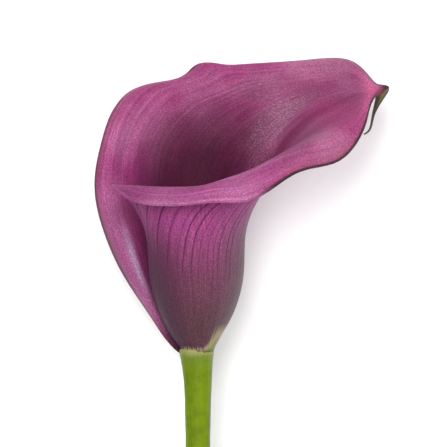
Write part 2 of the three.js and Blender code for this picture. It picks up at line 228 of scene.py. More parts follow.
# Inner face of the leaf.
INNER_MAGENTA = srgb(154, 56, 112)
INNER_SOFT_MAGENTA = srgb(166, 82, 130)
DARK_FIBRE = srgb(122, 24, 90)
PALE_FIBRE = srgb(184, 116, 158)
# The next two are painted shade, for the valley along the midrib, the flare's hollows and the flap's crevice.
SHADE_MAROON = srgb(104, 10, 64)
TIP_VALLEY_SHADE = srgb(156, 20, 96)
# A painted grey sheen and its specks; the grey is also painted as shade under the back rim.
SHEEN_AND_SHADE_GREY = srgb(136, 80, 110)
PAINTED_SHEEN_SPECK = srgb(206, 158, 188)
# Painted light on the lobes; towards the tip, the leaf's own redder tone with painted light on it.
LOBE_PAINTED_LIGHT = srgb(186, 116, 152)
TIP_RED_LIT = srgb(220, 86, 144)
# Partly the throat's own dark colour, partly painted shade of the deep tube.
THROAT_MAROON = srgb(72, 1, 42)
FLAP_DUSK = srgb(146, 36, 110)
# Painted lilac sheen, painted shade along the left rim, a foot darker in its own colour and in painted shade,
# and a painted highlight along the flap's ridge.
FLAP_LILAC_SHEEN = srgb(186, 112, 162)
FLAP_RIM_SHADE = srgb(120, 40, 78)
INNER_FOOT = srgb(74, 20, 54)
FLAP_RIDGE_HIGHLIGHT = srgb(206, 158, 204)

# Outer face of the leaf.
TUBE_BROWN = srgb(92, 54, 66)
TUBE_PURPLE = srgb(116, 54, 86)
TUBE_MAGENTA = srgb(172, 68, 138)
# A painted grey sheen for the right side, then painted shade for the seam, darker low down.
TUBE_SIDE_SHEEN = srgb(98, 82, 90)
TUBE_SEAM_SHADE = srgb(78, 22, 60)
TUBE_LOW_SEAM_SHADE = srgb(58, 10, 46)
VEIN_DARK = srgb(70, 4, 50)
FINE_VEIN_DARK = srgb(84, 24, 60)

# Margins and the rolled rim.
MARGIN_RED = srgb(142, 54, 86)
ROLL_MAGENTA = srgb(150, 58, 118)
# A painted highlight on the lip and painted light on the roll; the roll's shade is painted too.
LIP_HIGHLIGHT_PINK = srgb(190, 124, 170)
ROLL_PAINTED_LIGHT = srgb(196, 134, 180)
ROLL_END_SHADE = srgb(126, 36, 98)
# A painted highlight and painted shade for the very edge.
EDGE_HIGHLIGHT = srgb(190, 100, 156)
EDGE_SHADE = srgb(50, 18, 30)
SHEEN_TINT = srgb(220, 205, 225)

# Foot, beak and tail of the leaf.
FOOT_GREEN = srgb(118, 130, 60)
FOOT_CREAM = srgb(158, 140, 112)
BEAK_RED = srgb(122, 54, 78)
BEAK_DARK = srgb(72, 40, 50)
# A painted highlight for the beak's end.
BEAK_HIGHLIGHT = srgb(190, 158, 170)
TAIL_BROWN = srgb(104, 82, 52)
TAIL_OLIVE = srgb(138, 134, 80)
# Painted shade in the crease along the tail's front margin.
TAIL_FRONT_SHADE = srgb(34, 32, 22)
TAIL_BACK = srgb(84, 80, 66)
TAIL_END = srgb(70, 70, 52)

# Spadix.
FLORET_GREEN = srgb(176, 168, 60)
FLORET_YELLOW = srgb(232, 178, 58)
FLORET_GAP = srgb(124, 74, 16)
POLLEN_CREAM = srgb(250, 222, 140)

# Stem, its top and its cut.
STEM_GREEN = srgb(86, 108, 0)
STEM_LIGHT_GREEN = srgb(102, 126, 0)
STEM_FIBRE = srgb(78, 98, 4)
STEM_FLECK = srgb(136, 152, 30)
STEM_NECK = srgb(108, 120, 56)
STEM_TOP_CREAM = srgb(150, 142, 96)
PITH_BUNDLE = srgb(150, 164, 84)
PITH_PALE = srgb(206, 212, 150)
PITH_SKIN = srgb(116, 140, 30)


def smoothstep(low, high, value):
    share = np.clip((value - low) / (high - low), 0.0, 1.0)
    return share * share * (3.0 - 2.0 * share)


def control_net():
    """The control points as an array [row][point across][u, v, w]."""
    rows = []
    for (height, radius, middle), front, flap in zip(TUBE_ROWS, FRONT_SIDE, FLAP):
        bearings = [math.radians(bearing) for bearing in ROUND_BEARINGS]
        round_part = [(middle + radius * math.cos(b), height, radius * math.sin(b)) for b in bearings]
        rows.append([*front, *round_part, *flap])
    rows.extend(list(row) for row in FLARE_ROWS)
    for front, back, hollow in TAIL_ROWS:
        share = np.linspace(0.0, 1.0, POINTS_ACROSS)[:, None]
        row = np.array(front) * (1.0 - share) + np.array(back) * share
        row[:, 2] -= hollow * np.sin(math.pi * share[:, 0])
        rows.append(row)
    return np.array([np.array(row, float) for row in rows])


def spline_weights(count, samples):
    """Weights [sample][control point] of a cubic curve that starts and ends on its outer points."""
    degree = 3
    knots = np.concatenate([np.zeros(degree), np.linspace(0, 1, count - degree + 1), np.ones(degree)])
    weights = ((knots[:-1] <= samples[:, None]) & (samples[:, None] < knots[1:])).astype(float)
    weights[samples >= 1.0, count - 1] = 1.0
    for order in range(1, degree + 1):
        raised = np.zeros((len(samples), weights.shape[1] - 1))
        for i in range(raised.shape[1]):
            rise = knots[i + order] - knots[i]
            fall = knots[i + order + 1] - knots[i + 1]
            if rise > 0:
                raised[:, i] += (samples - knots[i]) / rise * weights[:, i]
            if fall > 0:
                raised[:, i] += (knots[i + order + 1] - samples) / fall * weights[:, i + 1]
        weights = raised
    return weights


def sheet_grid(along, across):
    """Middle of the sheet at every pair of the two lists, as [along][across][u, v, w]."""
    net = control_net()
    long_weights = spline_weights(net.shape[0], along)
    wide_weights = spline_weights(net.shape[1], across)
    points = np.einsum("ti,ijk,sj->tsk", long_weights, net, wide_weights)
    rows = 1.0 + along * (net.shape[0] - 3)
    for row, spread, margin, reach, push in SWELLS:
        near = np.exp(-(((rows - row) / spread) ** 2))
        at_rim = np.exp(-(((across - margin) / reach) ** 2))
        points += near[:, None, None] * at_rim[None, :, None] * np.array(push)
    return points


def sheet_thickness(along, across):
    """Thickness of the sheet at every pair of the two lists."""
    body = SHEET_BASE + (SHEET_RIM - SHEET_BASE) * smoothstep(*RIM_THINNING, along)
    body = (body + (SHEET_TAIL - SHEET_RIM) * smoothstep(*TAIL_THINNING, along))[:, None]
    edge = np.minimum(across, 1.0 - across)[None, :]
    return SHEET_MARGIN + (body - SHEET_MARGIN) * smoothstep(0.0, MARGIN_REACH, edge)


def grid_normals(points):
    """Unit normals of a grid, on the side of the bloom's inner face."""
    normals = np.cross(np.gradient(points, axis=0), np.gradient(points, axis=1))
    return normals / np.linalg.norm(normals, axis=2, keepdims=True)


def lay_down(points):
    """Bloom coordinates in millimetres to the lying pose in metres, flat where it meets the table."""
    turned = np.asarray(points, float) @ np.array(LIE_TURN).T + np.array(LIE_SHIFT)
    turned[..., 2] = np.maximum(turned[..., 2], 0.0)
    return turned * MM


def make_object(name, points, faces, attributes, flat=()):
    """A smooth mesh object of laid-down points; attributes holds one vector per point by name, and flat
    the numbers of the faces that end in a sharp edge."""
    mesh = bpy.data.meshes.new(name)
    mesh.from_pydata(lay_down(points).tolist(), [], faces)
    smooth = np.ones(len(mesh.polygons), bool)
    smooth[list(flat)] = False
    mesh.polygons.foreach_set("use_smooth", smooth)
    for key, values in attributes.items():
        layer = mesh.attributes.new(key, "FLOAT_VECTOR", "POINT")
        layer.data.foreach_set("vector", np.asarray(values, np.float32).ravel())
    mesh.update()
    made = bpy.data.objects.new(name, mesh)
    bpy.context.scene.collection.objects.link(made)
    return made


def quads(rows, columns, offset=0, flip=False, wrap=False):
    """Faces of a grid of points stored row by row; wrap joins the last column to the first."""
    i, j = np.meshgrid(np.arange(rows - 1), np.arange(columns if wrap else columns - 1), indexing="ij")
    following = (j + 1) % columns
    corners = [i * columns + j, (i + 1) * columns + j, (i + 1) * columns + following, i * columns + following]
    if flip:
        corners.reverse()
    return (np.stack(corners, axis=-1).reshape(-1, 4) + offset).tolist()


def strip(first, second):
    """Faces between two matching lists of point numbers."""
    return [(first[k], first[k + 1], second[k + 1], second[k]) for k in range(len(first) - 1)]


def end_fans(sides, first_ring, last_ring, first_middle, last_middle):
    """Triangles that close both ends of a tube, each from a middle point to a ring."""
    first = [(first_middle, first_ring + (k + 1) % sides, first_ring + k) for k in range(sides)]
    last = [(last_middle, last_ring + k, last_ring + (k + 1) % sides) for k in range(sides)]
    return first + last


def stem_radius(depth):
    outline = np.array(STEM_OUTLINE)
    return np.interp(depth, outline[:, 0], outline[:, 1])


def stem_middle(depth):
    bow = np.maximum(0.0, (depth - STEM_BOW_START) / (STEM_LENGTH - STEM_BOW_START)) ** 2
    lean = STEM_LEAN[0] + STEM_LEAN[1] * smoothstep(*STEM_LEAN_DEPTHS, depth)
    return np.stack([lean + STEM_BOW[0] * bow, -depth, STEM_BOW[1] * bow], -1)


def lapped_foot(edge, across):
    """The outer face's lower edge, drawn down over the stem's top except at the free flap."""
    stem_centre = stem_middle(np.array(FOOT_LAP))
    outward = (edge - stem_centre) * np.array([1.0, 0.0, 1.0])
    outward /= np.linalg.norm(outward, axis=1, keepdims=True)
    lapped = stem_centre + outward * (stem_radius(FOOT_LAP) - FOOT_SINK)
    share = smoothstep(*LAP_START, across) * (1.0 - smoothstep(*LAP_END, across))
    return edge + (lapped - edge) * share[:, None]


def make_spathe():
    along = np.linspace(0.0, 1.0, SHEET_STEPS_LONG + 1)
    across = np.linspace(0.0, 1.0, SHEET_STEPS_WIDE + 1)
    middle = sheet_grid(along, across)
    to_face = grid_normals(middle) * (sheet_thickness(along, across) / 2.0)[..., None]
    inner = middle + to_face
    outer = middle - to_face
    outer[0] = lapped_foot(outer[0], across)

    rows, columns = middle.shape[:2]
    number = np.arange(rows * columns).reshape(rows, columns)
    under = number + rows * columns
    faces = quads(rows, columns) + quads(rows, columns, offset=rows * columns, flip=True)
    foot_faces = range(len(faces), len(faces) + columns - 1)
    faces += strip(number[0].tolist(), under[0].tolist())
    faces += strip(number[-1][::-1].tolist(), under[-1][::-1].tolist())
    faces += strip(number[::-1, 0].tolist(), under[::-1, 0].tolist())
    faces += strip(number[:, -1].tolist(), under[:, -1].tolist())

    # Along the leaf, across it, and 1 on the inner face but 0 on the outer one.
    long_grid, wide_grid = np.meshgrid(along, across, indexing="ij")
    leaf = [np.stack([long_grid, wide_grid, np.full_like(long_grid, side)], -1) for side in (1.0, 0.0)]
    attributes = {
        "leaf": np.concatenate([part.reshape(-1, 3) for part in leaf]),
        "bloom": np.concatenate([inner.reshape(-1, 3), outer.reshape(-1, 3)]),
    }
    return make_object("spathe_skin", attributes["bloom"], faces, attributes, flat=foot_faces)


def spadix_radius(share):
    """Radius of the spadix without its florets: a narrow neck, a slight taper and a rounded tip."""
    neck = SPADIX_NECK + (1.0 - SPADIX_NECK) * smoothstep(0.0, SPADIX_NECK_END, share)
    taper = 1.0 - (1.0 - SPADIX_TOP) * smoothstep(*SPADIX_TAPER, share)
    cap = np.clip((share - (1.0 - SPADIX_CAP)) / SPADIX_CAP, 0.0, 1.0)
    return SPADIX_RADIUS * neck * taper * np.maximum(np.sqrt(1.0 - cap**2), SPADIX_CAP_LEAST)


def floret_height(turn, share):
    """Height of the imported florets, 0 between them and 1 on top, with a dimple in each."""
    row = share * FLORET_ROWS
    nearest = np.zeros_like(turn)
    for shift in (0, 1):
        line = np.round((row - shift) / 2.0) * 2.0 + shift
        column = turn * FLORETS_ROUND + 0.5 * shift
        sideways = (column - np.round(column)) * FLORET_NARROWING
        upward = (row - line) * FLORET_FLATTENING
        distance = np.sqrt(sideways**2 + upward**2)
        dome = np.sqrt(np.clip(1.0 - distance**2, 0.0, 1.0))
        dimple = DIMPLE_DEPTH * np.exp(-((distance / DIMPLE_WIDTH) ** 2))
        nearest = np.maximum(nearest, dome - dimple)
    return nearest


def make_spadix():
    sides = FLORETS_ROUND * FLORET_SIDES
    rings = FLORET_ROWS * FLORET_STEPS
    share, turn = np.meshgrid(np.linspace(0, 1, rings + 1), np.arange(sides) / sides, indexing="ij")
    height = floret_height(turn, share)
    body = spadix_radius(share)
    slope = np.gradient(body, SPADIX_HEIGHT / rings, axis=0)
    steep = np.sqrt(1.0 + slope**2)
    relief = FLORET_RELIEF * (height - FLORET_MIDDLE) * np.minimum(1.0, body / FLORET_FADE_RADIUS)
    radius = np.maximum(body + relief / steep, SPADIX_LEAST_RADIUS)
    v = SPADIX_FOOT + SPADIX_HEIGHT * share - relief * slope / steep
    angle = 2.0 * math.pi * turn
    points = np.stack([radius * np.cos(angle), v, -radius * np.sin(angle)], -1).reshape(-1, 3)
    foot_middle = len(points)
    tip = SPADIX_FOOT + SPADIX_HEIGHT + SPADIX_CAP_RISE
    points = np.vstack([points, [0.0, SPADIX_FOOT, 0.0], [0.0, tip, 0.0]])
    faces = quads(rings + 1, sides, flip=True, wrap=True)
    faces += end_fans(sides, 0, rings * sides, foot_middle, foot_middle + 1)

    # Height of the floret and share of the way up, also for the two middle points.
    florets = np.stack([height, share, np.zeros_like(share)], -1).reshape(-1, 3)
    florets = np.vstack([florets, [0.5, 0.0, 0.0], [0.5, 1.0, 0.0]])
    return make_object("spadix_florets", points, faces, {"floret": florets, "bloom": points})


def stem_wall_offset(depth, angle):
    """From the stem's middle line to its skin, slanted towards the cut."""
    swell = LONG_SWELL[0] * np.sin(depth * LONG_SWELL[1])
    swell += SHORT_SWELL[0] * np.sin(depth * SHORT_SWELL[1] + 2.0 * angle)
    ribs = RIB_DEPTH * np.cos(STEM_RIBS * angle + RIB_WANDER * np.sin(depth * RIB_WANDER_PACE))
    radius = stem_radius(depth) + swell + ribs
    offset = np.stack([radius * np.cos(angle), np.zeros_like(radius), -radius * np.sin(angle)], -1)
    near_cut = smoothstep(CUT_FADE, 0.0, STEM_LENGTH - depth)
    offset[..., 1] = CUT_SLANT * offset[..., 2] * near_cut
    return offset


def stem_cut(rim_offset):
    """Rings on the cut's face, from its middle outwards and short of its rim, with faint ripples."""
    shrink = np.linspace(0.0, 1.0, CUT_RINGS + 1)[1:-1][:, None, None]
    cut = stem_middle(np.array(STEM_LENGTH)) + rim_offset[None] * shrink
    cut[..., 1] += CUT_RIPPLE * np.cos(CUT_RIPPLES * shrink[..., 0] * math.pi)
    return cut.reshape(-1, 3)


def make_stem():
    depth, angle = np.meshgrid(
        STEM_LENGTH * (1.0 - np.linspace(0, 1, STEM_RINGS)) ** RING_CROWDING,
        np.arange(STEM_SIDES) * 2.0 * math.pi / STEM_SIDES,
        indexing="ij",
    )
    offset = stem_wall_offset(depth, angle)
    wall = stem_middle(depth) + offset
    ends = [stem_middle(np.array(STEM_LENGTH)), stem_middle(np.array(0.0))]
    points = np.vstack([stem_cut(offset[0]), wall.reshape(-1, 3), *ends])
    rings = CUT_RINGS - 1 + STEM_RINGS
    cut_middle = rings * STEM_SIDES
    faces = quads(rings, STEM_SIDES, flip=True, wrap=True)
    faces += end_fans(STEM_SIDES, 0, (rings - 1) * STEM_SIDES, cut_middle, cut_middle + 1)

    # Share of the way out from the middle on the cut, depth, and a place on a round tube for the fibres.
    on_cut = np.repeat(np.linspace(0, 1, CUT_RINGS + 1)[1:-1], STEM_SIDES)
    share = np.concatenate([on_cut, np.ones(STEM_RINGS * STEM_SIDES), [0.0, 1.0]])
    down = np.concatenate([np.full(len(on_cut), STEM_LENGTH), depth.ravel(), [STEM_LENGTH, 0.0]])
    turn = np.concatenate([np.tile(angle[0], rings), [0.0, 0.0]])
    fibre = np.stack([np.cos(turn), np.sin(turn), down * FIBRE_STRETCH], -1) * FIBRE_FINENESS
    stalk = np.stack([share, down, np.zeros_like(share)], -1)
    return make_object("stem_stalk", points, faces, {"stalk": stalk, "fibre": fibre, "bloom": points})


class Graph:
    """Short names for the nodes of one material."""

    def __init__(self, name):
        self.material = bpy.data.materials.new(name)
        self.material.use_nodes = True
        self.tree = self.material.node_tree
        self.shader = self.tree.nodes["Principled BSDF"]

    def link(self, value, socket):
        if isinstance(value, bpy.types.NodeSocket):
            self.tree.links.new(value, socket)
        else:
            socket.default_value = value

    def math(self, operation, first, second=0.0, third=0.0):
        node = self.tree.nodes.new("ShaderNodeMath")
        node.operation = operation
        for value, socket in zip((first, second, third), node.inputs):
            self.link(value, socket)
        return node.outputs[0]

    def plus(self, first, second):
        return self.math("ADD", first, second)

    def minus(self, first, second):
        return self.math("SUBTRACT", first, second)

    def times(self, first, *others):
        product = first
        for other in others:
            product = self.math("MULTIPLY", product, other)
        return product

    def scaled(self, value, factor, start):
        """Factor times the value, added to start."""
        return self.math("MULTIPLY_ADD", value, factor, start)

    def larger(self, first, second):
        return self.math("MAXIMUM", first, second)

    def ramp(self, value, low, high, start=0.0, end=1.0):
        """Smooth change from start to end as the value goes from low to high."""
        node = self.tree.nodes.new("ShaderNodeMapRange")
        node.interpolation_type = "SMOOTHSTEP"
        for item, socket in zip((value, low, high, start, end), node.inputs):
            self.link(item, socket)
        return node.outputs[0]

    def fade(self, value, low, high, start=1.0):
        """Smooth fall from start to 0 as the value goes from low to high."""
        return self.ramp(value, low, high, start, 0.0)

    def band(self, value, middle, reach, peak=1.0):
        """Peak where the value is at the middle, 0 from the reach on."""
        return self.fade(self.math("ABSOLUTE", self.minus(value, middle)), 0.0, reach, peak)

    def squared_off(self, value, middle, reach):
        """Squared distance of a value from a middle, counted in reaches."""
        share = self.math("DIVIDE", self.minus(value, middle), reach)
        return self.times(share, share)

    def oval(self, first, second):
        """Squared distance from an oval's middle; each axis is a value, its middle and its reach."""
        return self.plus(self.squared_off(*first), self.squared_off(*second))

    def mix(self, share, first, second, blend="MIX"):
        node = self.tree.nodes.new("ShaderNodeMix")
        node.data_type = "RGBA"
        node.blend_type = blend
        self.link(share, node.inputs["Factor"])
        colour_sockets = [socket for socket in node.inputs if socket.type == "RGBA"]
        self.link(first, colour_sockets[0])
        self.link(second, colour_sockets[1])
        return next(socket for socket in node.outputs if socket.type == "RGBA")

    def vector(self, name):
        node = self.tree.nodes.new("ShaderNodeAttribute")
        node.attribute_name = name
        return node.outputs["Vector"]

    def split(self, vector):
        node = self.tree.nodes.new("ShaderNodeSeparateXYZ")
        self.link(vector, node.inputs[0])
        return node.outputs

    def join(self, x, y, z):
        node = self.tree.nodes.new("ShaderNodeCombineXYZ")
        for value, socket in zip((x, y, z), node.inputs):
            self.link(value, socket)
        return node.outputs[0]

    def noise(self, vector, scale, detail=2.0, roughness=0.5):
        node = self.tree.nodes.new("ShaderNodeTexNoise")
        self.link(vector, node.inputs["Vector"])
        node.inputs["Scale"].default_value = scale
        node.inputs["Detail"].default_value = detail
        node.inputs["Roughness"].default_value = roughness
        return node.outputs["Fac"]

    def cells(self, vector, scale):
        node = self.tree.nodes.new("ShaderNodeTexVoronoi")
        self.link(vector, node.inputs["Vector"])
        node.inputs["Scale"].default_value = scale
        return node.outputs["Distance"]

    def chance(self, value):
        """A fixed random number for each whole value."""
        node = self.tree.nodes.new("ShaderNodeTexWhiteNoise")
        node.noise_dimensions = "1D"
        self.link(value, node.inputs["W"])
        return node.outputs["Value"]

    def bump(self, height, distance):
        """Relief of the surface, its distance in metres."""
        node = self.tree.nodes.new("ShaderNodeBump")
        node.inputs["Strength"].default_value = 1.0
        node.inputs["Distance"].default_value = distance
        self.link(height, node.inputs["Height"])
        self.link(node.outputs["Normal"], self.shader.inputs["Normal"])

    def finish(self, colour, roughness, **settings):
        self.link(colour, self.shader.inputs["Base Color"])
        self.link(roughness, self.shader.inputs["Roughness"])
        for key, value in settings.items():
            self.shader.inputs[key.replace("_", " ")].default_value = value
        return self.material


class Leaf(Graph):
    """The spathe's graph, with the places and the noises that its colours are made of."""

    def __init__(self):
        super().__init__("spathe_petal")
        self.along, self.across, self.inside = self.split(self.vector("leaf"))
        bloom = self.vector("bloom")
        self.u, self.v, self.w = self.split(bloom)
        self.margin = self.math("MINIMUM", self.across, self.minus(1.0, self.across))
        self.back = self.math("GREATER_THAN", self.across, 0.5)
        self.streaks = self.noise(self.drawn_out(9.0, 150.0), 1.0, 3.0, 0.6)
        self.fibres = self.noise(self.drawn_out(4.0, 84.0), 1.0, 2.0, 0.5)
        self.grain = self.noise(bloom, 2.2, 3.0, 0.75)
        self.speckle = self.ramp(self.noise(bloom, 3.4, 1.0), 0.35, 0.65)
        self.clouds = self.noise(bloom, 0.05, 2.0)

    def drawn_out(self, lengthwise, crosswise):
        """The place on the leaf, for a noise with so many waves along it and across it."""
        return self.join(self.times(self.along, lengthwise), self.times(self.across, crosswise), self.inside)


def vein_lines(leaf, count, width, wander):
    """Dark lines that run lengthwise in the leaf: 1 on a vein, 0 between, each of its own strength.
    They lean over towards the rim."""
    bend = leaf.ramp(leaf.v, 20.0, 58.0)
    lean = leaf.times(bend, bend, leaf.ramp(leaf.across, 0.06, 0.3, 0.05, 0.14))
    place = leaf.minus(leaf.across, lean)
    drift = leaf.noise(leaf.join(leaf.times(leaf.along, 10.0), leaf.times(place, 6.0), 0.0), 1.0, 1.0)
    swayed = leaf.scaled(drift, wander, leaf.times(place, count))
    cell = leaf.math("FLOOR", swayed)
    middle = leaf.scaled(leaf.chance(cell), 0.6, 0.2)
    line = leaf.band(leaf.math("FRACT", swayed), middle, width)
    strength = leaf.ramp(leaf.chance(leaf.plus(cell, 0.37)), 0.1, 0.6, 0.35, 1.0)
    return leaf.times(line, strength)


def throat_share(leaf):
    """How far the inner face has darkened into the throat: 1 behind the tube's mouth, 0 on the flare. The
    dark is partly the throat's own colour and partly painted shade of the deep tube.
    """
    leaning = leaf.scaled(leaf.minus(leaf.v, 50.0), -0.3, leaf.u)
    throat = leaf.oval((leaning, -5.0, 29.5), (leaf.v, 47.0, 48.0))
    throat = leaf.scaled(leaf.clouds, 0.3, leaf.minus(throat, 0.15))
    throat = leaf.times(leaf.fade(throat, 0.1, 1.0), leaf.fade(leaf.w, 4.0, 14.0))
    throat = leaf.times(throat, leaf.fade(leaf.across, 0.86, 0.93))
    inside_tube = leaf.times(leaf.fade(leaf.v, 38.0, 46.0), leaf.fade(leaf.across, 0.8, 0.9))
    return leaf.larger(throat, inside_tube)


def hollow_shades(leaf, colour):
    """Painted shade in the flare's hollows: deeper maroon beside the throat, in its front valley and behind
    the tip.
    """
    beside_throat = leaf.fade(leaf.w, 8.0, 18.0, 0.55)
    hollows = (
        (leaf.oval((leaf.u, 20.0, 9.0), (leaf.v, 79.0, 14.0)), 0.4, SHADE_MAROON),
        (leaf.oval((leaf.u, 20.0, 9.0), (leaf.v, 60.0, 11.0)), beside_throat, SHADE_MAROON),
        (leaf.oval((leaf.u, -9.0, 12.0), (leaf.v, 71.0, 11.0)), 0.3, SHADE_MAROON),
        (leaf.oval((leaf.scaled(leaf.u, -0.8, leaf.v), 41.0, 6.5), (leaf.u, 33.0, 13.0)), 0.4, SHADE_MAROON),
        (leaf.oval((leaf.u, 42.0, 12.0), (leaf.v, 86.0, 5.0)), 0.3, SHADE_MAROON),
        (leaf.oval((leaf.u, 46.0, 10.0), (leaf.v, 78.0, 9.0)), 0.4, TIP_VALLEY_SHADE),
    )
    for oval, strength, shade in hollows:
        colour = leaf.mix(leaf.fade(oval, 0.0, 1.0, strength), colour, shade)
    return colour


def inner_colour(leaf):
    """Inner face: maroon in the throat, partly painted shade, and painted shade along the midrib's valley;
    magenta above, with painted light on the lobes and towards the tip and a painted grey sheen behind the
    midrib.
    """
    colour = leaf.mix(leaf.ramp(leaf.clouds, 0.35, 0.65), INNER_MAGENTA, INNER_SOFT_MAGENTA)
    colour = leaf.mix(leaf.ramp(leaf.fibres, 0.5, 0.75, 0.0, 0.4), colour, DARK_FIBRE)
    colour = leaf.mix(leaf.ramp(leaf.fibres, 0.48, 0.3, 0.0, 0.3), colour, PALE_FIBRE)
    # Painted shade along the valley that the midrib runs in.
    midrib = leaf.times(leaf.band(leaf.across, 0.53, 0.08), leaf.ramp(leaf.along, 0.34, 0.6, 0.9, 0.35))
    colour = leaf.mix(midrib, colour, SHADE_MAROON)
    # A painted grey sheen on the wall behind the midrib.
    sheen_patch = leaf.oval((leaf.across, 0.64, 0.07), (leaf.along, 0.385, 0.1))
    colour = leaf.mix(leaf.fade(sheen_patch, 0.0, 1.2, 0.8), colour, SHEEN_AND_SHADE_GREY)
    # A painted highlight on the upper lobe.
    upper_lobe = leaf.oval((leaf.u, 41.0, 15.0), (leaf.v, 95.0, 6.0))
    colour = leaf.mix(leaf.fade(upper_lobe, 0.0, 1.0, 0.4), colour, LOBE_PAINTED_LIGHT)
    # The same grey, painted as shade under the back rim.
    under_rim = leaf.oval((leaf.u, 26.0, 18.0), (leaf.v, 88.0, 7.0))
    colour = leaf.mix(leaf.fade(under_rim, 0.0, 1.0, 0.45), colour, SHEEN_AND_SHADE_GREY)
    # Painted light on the lower lobe.
    lower_lobe = leaf.oval((leaf.u, 45.0, 9.0), (leaf.v, 67.0, 9.0))
    colour = leaf.mix(leaf.fade(lower_lobe, 0.0, 1.0, 0.3), colour, LOBE_PAINTED_LIGHT)
    # Towards the tip: the leaf's own redder tone, with painted light on it.
    tip = leaf.times(leaf.ramp(leaf.along, 0.55, 0.64), leaf.ramp(leaf.across, 0.1, 0.5, 0.35, 0.55))
    colour = leaf.mix(tip, colour, TIP_RED_LIT)
    # The throat's maroon, partly painted shade, laid over the painted shade of the hollows.
    colour = leaf.mix(throat_share(leaf), hollow_shades(leaf, colour), THROAT_MAROON)
    # Specks of painted sheen across that wall.
    leaning = leaf.scaled(leaf.along, -0.6, leaf.across)
    specked = leaf.oval((leaning, 0.4, 0.065), (leaf.along, 0.375, 0.11))
    specks = leaf.times(leaf.fade(specked, 0.0, 1.2, 0.26), leaf.ramp(leaf.grain, 0.48, 0.66))
    return leaf.mix(specks, colour, PAINTED_SHEEN_SPECK)


def flap_colour(leaf, colour):
    """The free flap at the left: duskier, with painted lilac sheen, painted shade along its rim and in the
    crevice under the roll's end, darker towards its foot in its own colour and in painted shade, and a
    painted highlight along its ridge beside the tube.
    """
    dusk = leaf.times(leaf.ramp(leaf.across, 0.8, 0.88), leaf.fade(leaf.v, 58.0, 74.0, 0.3))
    colour = leaf.mix(dusk, colour, FLAP_DUSK)
    # Painted lilac sheen on the upper left of the inner face.
    lilac = leaf.oval((leaf.u, -25.0, 5.5), (leaf.v, 69.0, 10.0))
    colour = leaf.mix(leaf.fade(lilac, 0.0, 1.0, 0.3), colour, FLAP_LILAC_SHEEN)
    # Painted shade along the left rim.
    rim = leaf.oval((leaf.u, -34.5, 4.5), (leaf.v, 64.0, 14.0))
    colour = leaf.mix(leaf.fade(rim, 0.0, 1.0, 0.45), colour, FLAP_RIM_SHADE)
    # Painted lilac sheen on the flap's open side.
    open_side = leaf.times(leaf.ramp(leaf.across, 0.91, 0.96), leaf.fade(leaf.v, 46.0, 58.0, 0.3))
    colour = leaf.mix(open_side, colour, FLAP_LILAC_SHEEN)
    # Darker towards the foot, highest beside the tube: partly the leaf's own colour, partly painted shade.
    foot = leaf.fade(leaf.v, 1.0, leaf.ramp(leaf.across, 0.89, 0.94, 34.0, 15.0), 0.85)
    colour = leaf.mix(foot, colour, INNER_FOOT)
    # Painted shade in the crevice under the roll's end.
    crevice = leaf.oval((leaf.u, -23.5, 5.0), (leaf.v, 47.0, 8.0))
    colour = leaf.mix(leaf.fade(crevice, 0.0, 1.0, 0.4), colour, SHADE_MAROON)
    # A painted highlight along the flap's ridge.
    reach = leaf.times(leaf.ramp(leaf.v, 13.0, 26.0), leaf.fade(leaf.v, 28.0, 46.0))
    ridge = leaf.times(leaf.band(leaf.across, 0.938, 0.024), reach, 0.8)
    return leaf.mix(ridge, colour, FLAP_RIDGE_HIGHLIGHT)


def outer_colour(leaf, veins):
    """Outer face: dusky purple brown at the foot, magenta under the rim, with dark veins, a painted grey
    sheen down the right side and painted shade along the seam.
    """
    height = leaf.scaled(leaf.clouds, 10.0, leaf.minus(leaf.v, 5.0))
    colour = leaf.mix(leaf.ramp(height, 6.0, 32.0), TUBE_BROWN, TUBE_PURPLE)
    colour = leaf.mix(leaf.ramp(height, 25.0, 48.0), colour, TUBE_MAGENTA)
    # A painted grey sheen down the tube's right side.
    side = leaf.times(leaf.ramp(leaf.across, 0.22, 0.4), leaf.fade(leaf.across, 0.44, 0.56, 0.65))
    side = leaf.times(side, leaf.fade(leaf.v, 34.0, 54.0))
    colour = leaf.mix(side, colour, TUBE_SIDE_SHEEN)
    # Painted shade along the seam, darkest low down.
    seam = leaf.times(leaf.fade(leaf.across, 0.05, 0.18, 0.88), leaf.ramp(leaf.v, 26.0, 46.0, 1.0, 0.3))
    seam_colour = leaf.mix(leaf.ramp(leaf.v, 18.0, 38.0), TUBE_LOW_SEAM_SHADE, TUBE_SEAM_SHADE)
    colour = leaf.mix(seam, colour, seam_colour)
    shown = leaf.times(veins, leaf.ramp(leaf.v, 17.0, 34.0, 0.06, 0.85))
    colour = leaf.mix(shown, colour, VEIN_DARK)
    fine_veins = vein_lines(leaf, count=120.0, width=0.4, wander=2.5)
    return leaf.mix(leaf.times(fine_veins, 0.25), colour, FINE_VEIN_DARK)


def reddened_margin(leaf, colour):
    """A redder band along both margins, fainter at the roll's left end."""
    width = leaf.ramp(leaf.along, 0.38, 0.5, 0.022, 0.045)
    strength = leaf.larger(leaf.ramp(leaf.along, 0.26, 0.36, 0.2, 0.55), leaf.times(leaf.back, 0.55))
    share = leaf.fade(leaf.math("DIVIDE", leaf.margin, width), 0.0, 1.0, strength)
    return leaf.mix(share, colour, MARGIN_RED)


